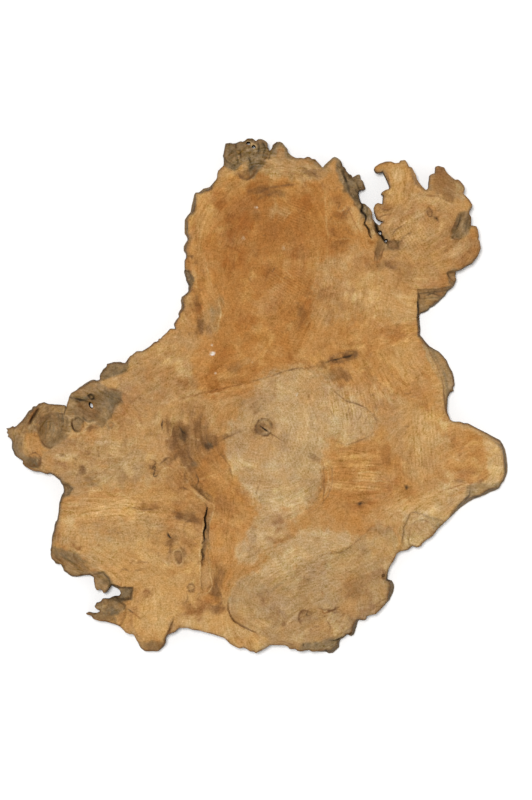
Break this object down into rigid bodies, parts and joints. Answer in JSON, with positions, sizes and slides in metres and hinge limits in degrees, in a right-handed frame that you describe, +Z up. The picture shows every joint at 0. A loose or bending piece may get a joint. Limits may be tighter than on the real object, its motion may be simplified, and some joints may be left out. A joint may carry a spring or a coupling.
{
  "type": "teak wood slice",
  "caption": "Irregular slab sawn across a root flare, with a jagged rim, eroded pockets, cracks and small through holes.",
  "frame": {"origin": "middle of the slice's box at the sawn back", "axes": "+Z up out of the sawn face, +Y towards the large upper lobe, +X towards the right tip"},
  "size_m": [0.8, 0.8216, 0.048],
  "materials": {
    "teak_wood": "sawn and lightly sanded bare teak, golden tan with an orange heart, dull, weathered grey-brown along the rim"
  },
  "bodies": {
    "root": {"teak_slice": "teak_wood"}
  },
  "joints": []
}
